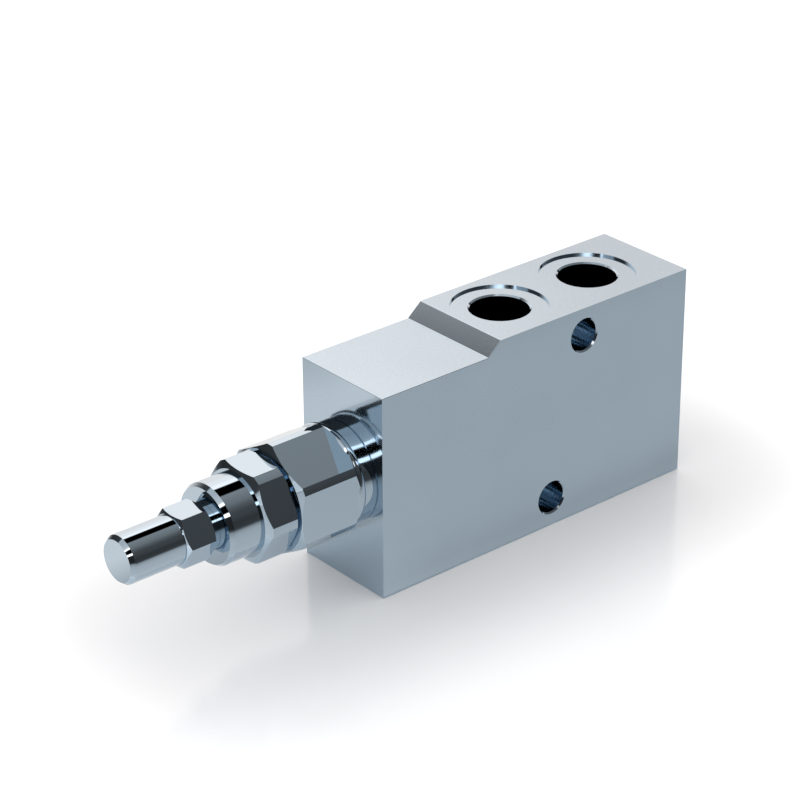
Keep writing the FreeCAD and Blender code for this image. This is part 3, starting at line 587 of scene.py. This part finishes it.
def tent_cloth(axis_height):
    """Tent of translucent cloth with black strips, lit from outside and seen by metal alone."""
    material, tree, output = new_material("lit_tent_cloth")
    place = add_node(tree, "TexCoord").outputs["Object"]
    parts = add_node(tree, "SeparateXYZ", (), [("Vector", place)]).outputs
    rise = add_node(
        tree, "Math", [("operation", "SUBTRACT"), (1, axis_height)], [(0, parts["Z"])],
    )
    angle = add_node(
        tree, "Math", [("operation", "ARCTAN2")], [(0, rise.outputs["Value"]), (1, parts["Y"])],
    )
    share = add_node(
        tree, "MapRange", [("From Min", -math.pi), ("From Max", math.pi)],
        [("Value", angle.outputs["Value"])],
    ).outputs["Result"]
    along = add_node(
        tree, "MapRange",
        [("interpolation_type", "SMOOTHSTEP"), ("From Min", TENT_BLEND[0]),
         ("From Max", TENT_BLEND[1])],
        [("Value", parts["X"])],
    )
    tone = add_node(
        tree, "MixRGB", (),
        [("Fac", along.outputs["Result"]),
         ("Color1", tone_ramp(tree, share, CARTRIDGE_END_STOPS)),
         ("Color2", tone_ramp(tree, share, BLOCK_END_STOPS))],
    )
    far = add_node(
        tree, "MapRange",
        [("From Min", FAR_SHADE_REACH[0]), ("From Max", FAR_SHADE_REACH[1]),
         ("To Max", 1 - FAR_SHADE)],
        [("Value", parts["X"])],
    )
    behind = add_node(tree, "Math", [("operation", "GREATER_THAN"), (1, 0.0)], [(0, parts["Y"])])
    loss = add_node(
        tree, "Math", [("operation", "MULTIPLY")],
        [(0, far.outputs["Result"]), (1, behind.outputs["Value"])],
    )
    power = add_node(
        tree, "Math", [("operation", "MULTIPLY_ADD"), (1, -TENT_STRENGTH), (2, TENT_STRENGTH)],
        [(0, loss.outputs["Value"])],
    )
    glow = add_node(
        tree, "Emission", (),
        [("Color", tone.outputs["Color"]), ("Strength", power.outputs["Value"])],
    )
    clear = add_node(tree, "BsdfTransparent")
    outer = add_node(tree, "NewGeometry").outputs["Backfacing"]
    both = add_node(
        tree, "MixShader", (),
        [(0, outer), (1, glow.outputs["Emission"]), (2, clear.outputs["BSDF"])],
    )
    tree.links.new(both.outputs["Shader"], output.inputs["Surface"])
    return material


# Pieces.

def merged_copy(node, name):
    """A copy of a CAD node whose loose triangles are merged. It is left in edit mode."""
    piece = bpy.data.objects.new(name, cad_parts[node].data.copy())
    bpy.context.scene.collection.objects.link(piece)
    pick(piece)
    bpy.ops.mesh.customdata_custom_splitnormals_clear()
    bpy.ops.object.mode_set(mode="EDIT")
    bpy.ops.mesh.select_all(action="SELECT")
    bpy.ops.mesh.remove_doubles(threshold=MERGE_REACH)
    return piece


def smooth_and_crisp(piece):
    """Smooth the round surfaces of the active piece, and keep its milled faces flat."""
    bpy.ops.object.shade_smooth_by_angle(angle=math.radians(SMOOTH_ANGLE))
    weight = piece.modifiers.new("flat_faces", "WEIGHTED_NORMAL")
    weight.keep_sharp = True
    bpy.ops.object.modifier_apply(modifier=weight.name)


def dressed_block(edge, material):
    """The block's own shape with its long straight edges broken, to stand for its CAD node."""
    piece = merged_copy("valve_block", "block")
    bpy.ops.mesh.dissolve_limited(angle_limit=math.radians(FLAT_ANGLE))
    bpy.ops.mesh.select_mode(type="EDGE")
    bpy.ops.mesh.select_all(action="DESELECT")
    bpy.ops.mesh.edges_select_sharp(sharpness=math.radians(SHARP_ANGLE))
    bpy.ops.object.mode_set(mode="OBJECT")
    weights = piece.data.attributes.new("bevel_weight_edge", "FLOAT", "EDGE")
    for line in piece.data.edges:
        start, end = (piece.data.vertices[i].co for i in line.vertices)
        weights.data[line.index].value = float(line.select and (end - start).length > LONG_EDGE)
    rounding = piece.modifiers.new("edge_break", "BEVEL")
    rounding.width = edge
    rounding.segments = EDGE_SEGMENTS
    rounding.limit_method = "WEIGHT"
    bpy.ops.object.modifier_apply(modifier=rounding.name)
    smooth_and_crisp(piece)
    piece.data.materials.clear()
    piece.data.materials.append(material)
    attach(piece, "valve")
    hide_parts("valve_block")


def add_turning(name, outline, axis_height):
    """Spin an outline of stations and radii, in millimetres, once round the cartridge's axis."""
    deselect()
    # The plane is merged to one point, which is drawn out along the outline.
    bpy.ops.mesh.primitive_plane_add(size=1 * MM, location=(0, 0, 0))
    piece = bpy.context.object
    piece.name = name
    bpy.ops.object.mode_set(mode="EDIT")
    bpy.ops.mesh.select_mode(type="VERT")
    bpy.ops.mesh.select_all(action="SELECT")
    bpy.ops.mesh.merge(type="CENTER")
    station, radius = outline[0]
    bpy.ops.transform.translate(value=(station * MM, 0, axis_height + radius * MM))
    for (x0, r0), (x1, r1) in zip(outline, outline[1:]):
        move = ((x1 - x0) * MM, 0, (r1 - r0) * MM)
        bpy.ops.mesh.extrude_vertices_move(TRANSFORM_OT_translate={"value": move})
    bpy.ops.mesh.select_all(action="SELECT")
    bpy.ops.mesh.spin(
        steps=TURN_STEPS, angle=math.tau, center=(0, 0, axis_height), axis=(1, 0, 0),
    )
    bpy.ops.mesh.select_all(action="SELECT")
    bpy.ops.mesh.remove_doubles(threshold=MERGE_REACH)
    bpy.ops.mesh.normals_make_consistent(inside=False)
    bpy.ops.object.mode_set(mode="OBJECT")
    return piece


def combine(target, tool, operation):
    """Cut a tool out of a piece or join it on, and drop the tool."""
    pick(target)
    step = target.modifiers.new("combine", "BOOLEAN")
    step.operation = operation
    step.solver = "EXACT"
    step.object = tool
    bpy.ops.object.modifier_apply(modifier=step.name)
    bpy.data.objects.remove(tool, do_unlink=True)


def mill_hexagon(piece, start, end, across_flats, turn, axis_height):
    """Cut six flats over a stretch of a turned piece with a ring that has a hexagonal hole."""
    centre = ((start + end) / 2 * MM, 0, axis_height)
    blanks = []
    for sides, radius, spin, length in (
        (CUTTER_SIDES, CUTTER_RADIUS, 0, end - start),
        (6, across_flats / math.sqrt(3), turn, 2 * (end - start)),
    ):
        deselect()
        bpy.ops.mesh.primitive_cylinder_add(vertices=sides, radius=radius * MM, depth=length * MM)
        blank = bpy.context.object
        # A six-sided cylinder's first corner lies on its local Y; it goes to the turn about X.
        blank.matrix_world = (
            Matrix.Translation(centre) @ Matrix.Rotation(math.radians(spin), 4, "X")
            @ Matrix.Rotation(math.pi / 2, 4, "Y")
        )
        pick(blank)
        bpy.ops.object.transform_apply(location=True, rotation=True, scale=True)
        blanks.append(blank)
    ring, hole = blanks
    combine(ring, hole, "DIFFERENCE")
    combine(piece, ring, "DIFFERENCE")


def finish_turned(piece, node, body, material):
    """Finish a turned piece, and let it stand for its CAD node."""
    pick(piece)
    bpy.ops.object.transform_apply(location=True, rotation=True, scale=True)
    smooth_and_crisp(piece)
    piece.data.materials.append(material)
    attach(piece, body)
    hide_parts(node)


def chamfer_length(corner, face):
    """Length along the axis of a hexagon's chamfer, from its face to its corners' radius."""
    return (corner - face) * math.tan(math.radians(CHAMFER_ANGLE))


def chamfered(start, length, corner, face):
    """Outline of a hexagon's turned corners, with a chamfer at both ends."""
    cut = chamfer_length(corner, face)
    return [
        (start, face), (start + cut, corner),
        (start + length - cut, corner), (start + length, face),
    ]


def hexagon_body(face, axis_height, material):
    """The cartridge body: hexagon, bead and shoulder, and the thread and bores in the block."""
    front = face - BODY_REACH
    corner_end = front + BODY_HEX_LENGTH
    outline = [
        (front, SCREW_BORE), (front, BODY_FACE),
        (front + chamfer_length(BODY_CORNER, BODY_FACE), BODY_CORNER), (corner_end, BODY_CORNER),
        (corner_end + BODY_CORNER - NECK, NECK), (face - NECK_RIM, NECK), (face, NECK - NECK_RIM),
        (face, UNDERCUT), (face + MOUTH_DEPTH, UNDERCUT), (face + MOUTH_DEPTH, BODY_THREAD),
        (face + BODY_THREAD_DEPTH, BODY_THREAD), (face + BODY_THREAD_DEPTH, CAGE_BORE),
        (face + CAGE_REAR, CAGE_BORE), (face + CAGE_REAR, SPRING_BORE),
        (front + SEAL_BORE_END, SPRING_BORE), (front + SEAL_BORE_END, SEAL_BORE),
        (front + THREAD_GRIP, SEAL_BORE), (front + THREAD_GRIP, SCREW_BORE), (front, SCREW_BORE),
    ]
    piece = add_turning("hexagon_body", outline, axis_height)
    mill_hexagon(
        piece, front - CUTTER_OVERSHOOT, face - BEAD_REACH, BODY_AF, BODY_TURN, axis_height,
    )
    deselect()
    bpy.ops.mesh.primitive_torus_add(
        major_radius=BEAD_RING * MM, minor_radius=BEAD_SECTION * MM, major_segments=TURN_STEPS,
        minor_segments=BEAD_STEPS, location=((face - BEAD_REACH) * MM, 0, axis_height),
        rotation=(0, math.pi / 2, 0),
    )
    combine(piece, bpy.context.object, "UNION")
    finish_turned(piece, "cartridge_body", "valve", material)


def locking_nut(front, axis_height, material):
    """The lock nut: round collar and hexagon, with the pocket of its seal at the back."""
    hexagon = front + COLLAR_LENGTH
    back = hexagon + NUT_LENGTH
    outline = [
        (front, SCREW_BORE), (front, COLLAR - COLLAR_CHAMFER_DEPTH),
        (front + COLLAR_CHAMFER_LENGTH, COLLAR), (hexagon, COLLAR),
        *chamfered(hexagon, NUT_LENGTH, NUT_CORNER, NUT_FACE),
        (back, NUT_POCKET), (back - NUT_POCKET_DEPTH, NUT_POCKET),
        (back - NUT_POCKET_DEPTH, SCREW_BORE), (front, SCREW_BORE),
    ]
    piece = add_turning("locking_nut", outline, axis_height)
    mill_hexagon(piece, hexagon, back + CUTTER_OVERSHOOT, NUT_AF, NUT_TURN, axis_height)
    finish_turned(piece, "lock_nut", "nut", material)


def setting_screw(tip, end, axis_height, material):
    """The adjusting screw: plain end, hexagon, thread, shank with a seal groove, and ball cup."""
    hexagon = tip + TIP_LENGTH
    back = hexagon + SMALL_LENGTH
    thread_end = end - SCREW_NOSE - SEAL_BORE_LENGTH - THREAD_SPARE
    groove = end - SCREW_NOSE - GROOVE_SETBACK
    outline = [
        (tip, 0), (tip, TIP_FACE), (tip + TIP_CHAMFER_LENGTH, TIP), (hexagon, TIP),
        *chamfered(hexagon, SMALL_LENGTH, SMALL_AF / math.sqrt(3), SMALL_FACE),
        (back, SCREW_THREAD), (thread_end, SCREW_THREAD), (thread_end, SCREW_SHANK),
        (groove - GROOVE_HALF_WIDTH, SCREW_SHANK), (groove - GROOVE_HALF_WIDTH, GROOVE),
        (groove + GROOVE_HALF_WIDTH, GROOVE), (groove + GROOVE_HALF_WIDTH, SCREW_SHANK),
        (end, SCREW_SHANK), (end, BALL_CUP), (end - BALL_CUP_DEPTH, BALL_CUP),
        (end - BALL_CUP_DEPTH, 0),
    ]
    piece = add_turning("setting_screw", outline, axis_height)
    mill_hexagon(piece, hexagon, back, SMALL_AF, SMALL_TURN, axis_height)
    finish_turned(piece, "adjusting_screw", "screw", material)


def paint(node, material):
    """Give a CAD node its finish through its own material slots."""
    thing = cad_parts[node]
    if not thing.material_slots:
        raise RuntimeError(f"{node} has no material slot")
    for slot in thing.material_slots:
        slot.link = "OBJECT"
        slot.material = material


def sprung_copy(node, name, material):
    """A merged and smoothed copy of a spring in its finish, which stands for its CAD node."""
    piece = merged_copy(node, name)
    bpy.ops.object.mode_set(mode="OBJECT")
    bpy.ops.object.shade_smooth_by_angle(angle=math.radians(SPRING_SMOOTH_ANGLE))
    piece.data.materials.clear()
    piece.data.materials.append(material)
    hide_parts(node)
    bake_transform(piece)


class VALVE_OT_block(bpy.types.Operator):
    """Dress the milled block: broken edges and satin plate"""
    bl_idname = "valve.block"
    bl_label = "Block"

    def execute(self, context):
        scene = context.scene
        dressed_block(scene.valve_sizes.block_edge, satin_plate(scene.valve_finishes))
        return {"FINISHED"}


class VALVE_OT_cartridge(bpy.types.Operator):
    """Dress the cartridge pieces that show: hexagon body, lock nut and adjusting screw"""
    bl_idname = "valve.cartridge"
    bl_label = "Cartridge"

    def execute(self, context):
        scene = context.scene
        axis_height = scene.valve_sizes.axis_height
        material = bright_plate(scene.valve_finishes)
        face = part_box("valve_block")[0][0] / MM
        nut_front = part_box("lock_nut")[0][0] / MM
        screw_low, screw_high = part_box("adjusting_screw")
        hexagon_body(face, axis_height, material)
        locking_nut(nut_front, axis_height, material)
        setting_screw(screw_low[0] / MM, screw_high[0] / MM, axis_height, material)
        return {"FINISHED"}


INSIDE_PARTS = {
    "cage_steel": (
        "cage", "poppet_guide", "pilot_orifice", "upper_spring_seat", "lower_spring_seat",
    ),
    "hard_steel": ("thrust_ball", "poppet", "check_sleeve", "pilot_piston"),
    "spring_steel": ("sleeve_stop_ring", "piston_retaining_ring"),
    "seal_rubber": (
        "flange_o_ring", "lock_nut_seal", "screw_o_ring", "piston_seal",
        "rear_o_ring", "middle_o_ring", "nose_o_ring",
    ),
    "backup_plastic": ("rear_backup_ring", "middle_backup_ring", "nose_backup_ring"),
}


class VALVE_OT_inside(bpy.types.Operator):
    """Give the parts inside the cartridge their finishes"""
    bl_idname = "valve.inside"
    bl_label = "Inside parts"

    def execute(self, context):
        finishes = {
            # Turned and phosphated steel: dark grey and dull, with fine rings.
            "cage_steel": plain_steel(
                "phosphated_turned_steel", "6E7276", roughness=0.34, ring_size=0.30 * MM,
            ),
            # Hardened steel, ground: bright, with very fine rings.
            "hard_steel": plain_steel(
                "ground_hardened_steel", "B9BCC0", roughness=0.12, ring_size=0.08 * MM,
            ),
            # Drawn spring wire, oiled: grey, with a soft shine.
            "spring_steel": plain_steel(
                "drawn_spring_wire", "8B8E92", roughness=0.24, ring_size=0.15 * MM,
            ),
            # Moulded nitrile rubber: black and matt.
            "seal_rubber": moulded(
                "moulded_nitrile_rubber", ("141415", "1D1D1F"), roughness=0.55, size=0.5 * MM,
            ),
            # Moulded PTFE: waxy white.
            "backup_plastic": moulded(
                "moulded_ptfe", ("DDD9CE", "EAE6DC"), roughness=0.42, size=0.8 * MM,
            ),
        }
        for slot, nodes in INSIDE_PARTS.items():
            for node in nodes:
                paint(node, finishes[slot])
        sprung_copy("main_spring", "relief_spring", finishes["spring_steel"])
        sprung_copy("check_spring", "free_flow_spring", finishes["spring_steel"])
        return {"FINISHED"}


def light_tent(settings, axis_height):
    """A tunnel round the valve's axis, cut off at the floor, with a flat hem on each side."""
    deselect()
    bpy.ops.mesh.primitive_cylinder_add(
        vertices=TENT_SIDES, radius=settings.tent_radius, depth=settings.tent_length,
        end_fill_type="NOTHING", location=(0, 0, axis_height), rotation=(0, math.pi / 2, 0),
    )
    tent = bpy.context.object
    tent.name = "light_tent"
    bpy.ops.object.transform_apply(location=True, rotation=True, scale=True)
    bpy.ops.object.mode_set(mode="EDIT")
    bpy.ops.mesh.select_all(action="SELECT")
    bpy.ops.mesh.bisect(
        plane_co=(0, 0, settings.hem_height), plane_no=(0, 0, 1), clear_inner=True,
    )
    # Each cut edge is drawn in along the floor, up to the block's side.
    for side in (-1, 1):
        bpy.ops.object.mode_set(mode="OBJECT")
        reach = 0
        for edge in tent.data.edges:
            ends = [tent.data.vertices[i].co for i in edge.vertices]
            edge.select = all(
                abs(end.z - settings.hem_height) < HEM_TOLERANCE and side * end.y > 0
                for end in ends
            )
            if edge.select:
                reach = abs(ends[0].y)
        bpy.ops.object.mode_set(mode="EDIT")
        bpy.ops.mesh.select_mode(type="EDGE")
        move = (0, side * (settings.hem_gap - reach), 0)
        bpy.ops.mesh.extrude_edges_move(TRANSFORM_OT_translate={"value": move})
    bpy.ops.mesh.select_all(action="DESELECT")
    bpy.ops.object.mode_set(mode="OBJECT")
    # The cloth glows inwards.
    for face in tent.data.polygons:
        outward = Vector((0, face.center.y, face.center.z - axis_height))
        face.select = face.normal.dot(outward) > 0
    bpy.ops.object.mode_set(mode="EDIT")
    bpy.ops.mesh.select_mode(type="FACE")
    bpy.ops.mesh.flip_normals()
    bpy.ops.object.mode_set(mode="OBJECT")
    tent.data.materials.append(tent_cloth(axis_height))
    tent.visible_camera = False
    tent.visible_diffuse = False
    tent.visible_shadow = False
    tent.visible_transmission = False


class VALVE_OT_stage(bpy.types.Operator):
    """Set up the floor, the light and the camera"""
    bl_idname = "valve.stage"
    bl_label = "Stage"

    def execute(self, context):
        scene = context.scene
        settings = scene.valve_studio
        deselect()
        bpy.ops.mesh.primitive_circle_add(
            vertices=FLOOR_SIDES, radius=settings.floor_radius, fill_type="NGON",
        )
        floor = bpy.context.object
        floor.name = "floor"
        floor.data.materials.append(pale_floor())
        light_tent(settings, scene.valve_sizes.axis_height)

        world = bpy.data.worlds.new("plain_white_light")
        world.use_nodes = True
        sky = world.node_tree.nodes["Background"]
        sky.inputs["Color"].default_value = (1, 1, 1, 1)
        sky.inputs["Strength"].default_value = settings.sky_strength
        scene.world = world
        scene.view_settings.view_transform = "Standard"

        yaw, pitch, roll = settings.camera_turn
        aim = Euler((math.pi / 2 - pitch, 0, -yaw)).to_matrix() @ Matrix.Rotation(roll, 3, "Z")
        bpy.ops.object.camera_add(location=settings.camera_place, rotation=aim.to_euler())
        camera = bpy.context.object
        camera.name = "photo_camera"
        camera.data.sensor_width = SENSOR_WIDTH
        camera.data.lens = settings.camera_lens
        scene.camera = camera
        return {"FINISHED"}


class VALVE_PT_sidebar(bpy.types.Panel):
    """Lists the operators and the sizes, finishes and studio settings"""
    bl_label = "Counterbalance valve"
    bl_idname = "VALVE_PT_sidebar"
    bl_space_type = "VIEW_3D"
    bl_region_type = "UI"
    bl_category = "Valve"

    def draw(self, context):
        layout = self.layout
        scene = context.scene
        for operator in OPERATORS:
            layout.operator(operator.bl_idname)
        for group in (scene.valve_sizes, scene.valve_finishes, scene.valve_studio):
            box = layout.box()
            for name in group.__annotations__:
                box.prop(group, name)


OPERATORS = (VALVE_OT_block, VALVE_OT_cartridge, VALVE_OT_inside, VALVE_OT_stage)
CLASSES = (ValveSizes, ValveFinishes, StudioSettings, *OPERATORS, VALVE_PT_sidebar)


def register():
    """Register the classes and hang the settings on the scene."""
    for kind in CLASSES:
        bpy.utils.register_class(kind)
    bpy.types.Scene.valve_sizes = PointerProperty(type=ValveSizes)
    bpy.types.Scene.valve_finishes = PointerProperty(type=ValveFinishes)
    bpy.types.Scene.valve_studio = PointerProperty(type=StudioSettings)


def unregister():
    """Take the settings and classes away again."""
    del bpy.types.Scene.valve_studio
    del bpy.types.Scene.valve_finishes
    del bpy.types.Scene.valve_sizes
    for kind in reversed(CLASSES):
        bpy.utils.unregister_class(kind)


def main():
    register()
    bpy.ops.valve.block()
    bpy.ops.valve.cartridge()
    bpy.ops.valve.inside()
    bpy.ops.valve.stage()
    bpy.context.view_layer.update()


if __name__ == "__main__":
    main()
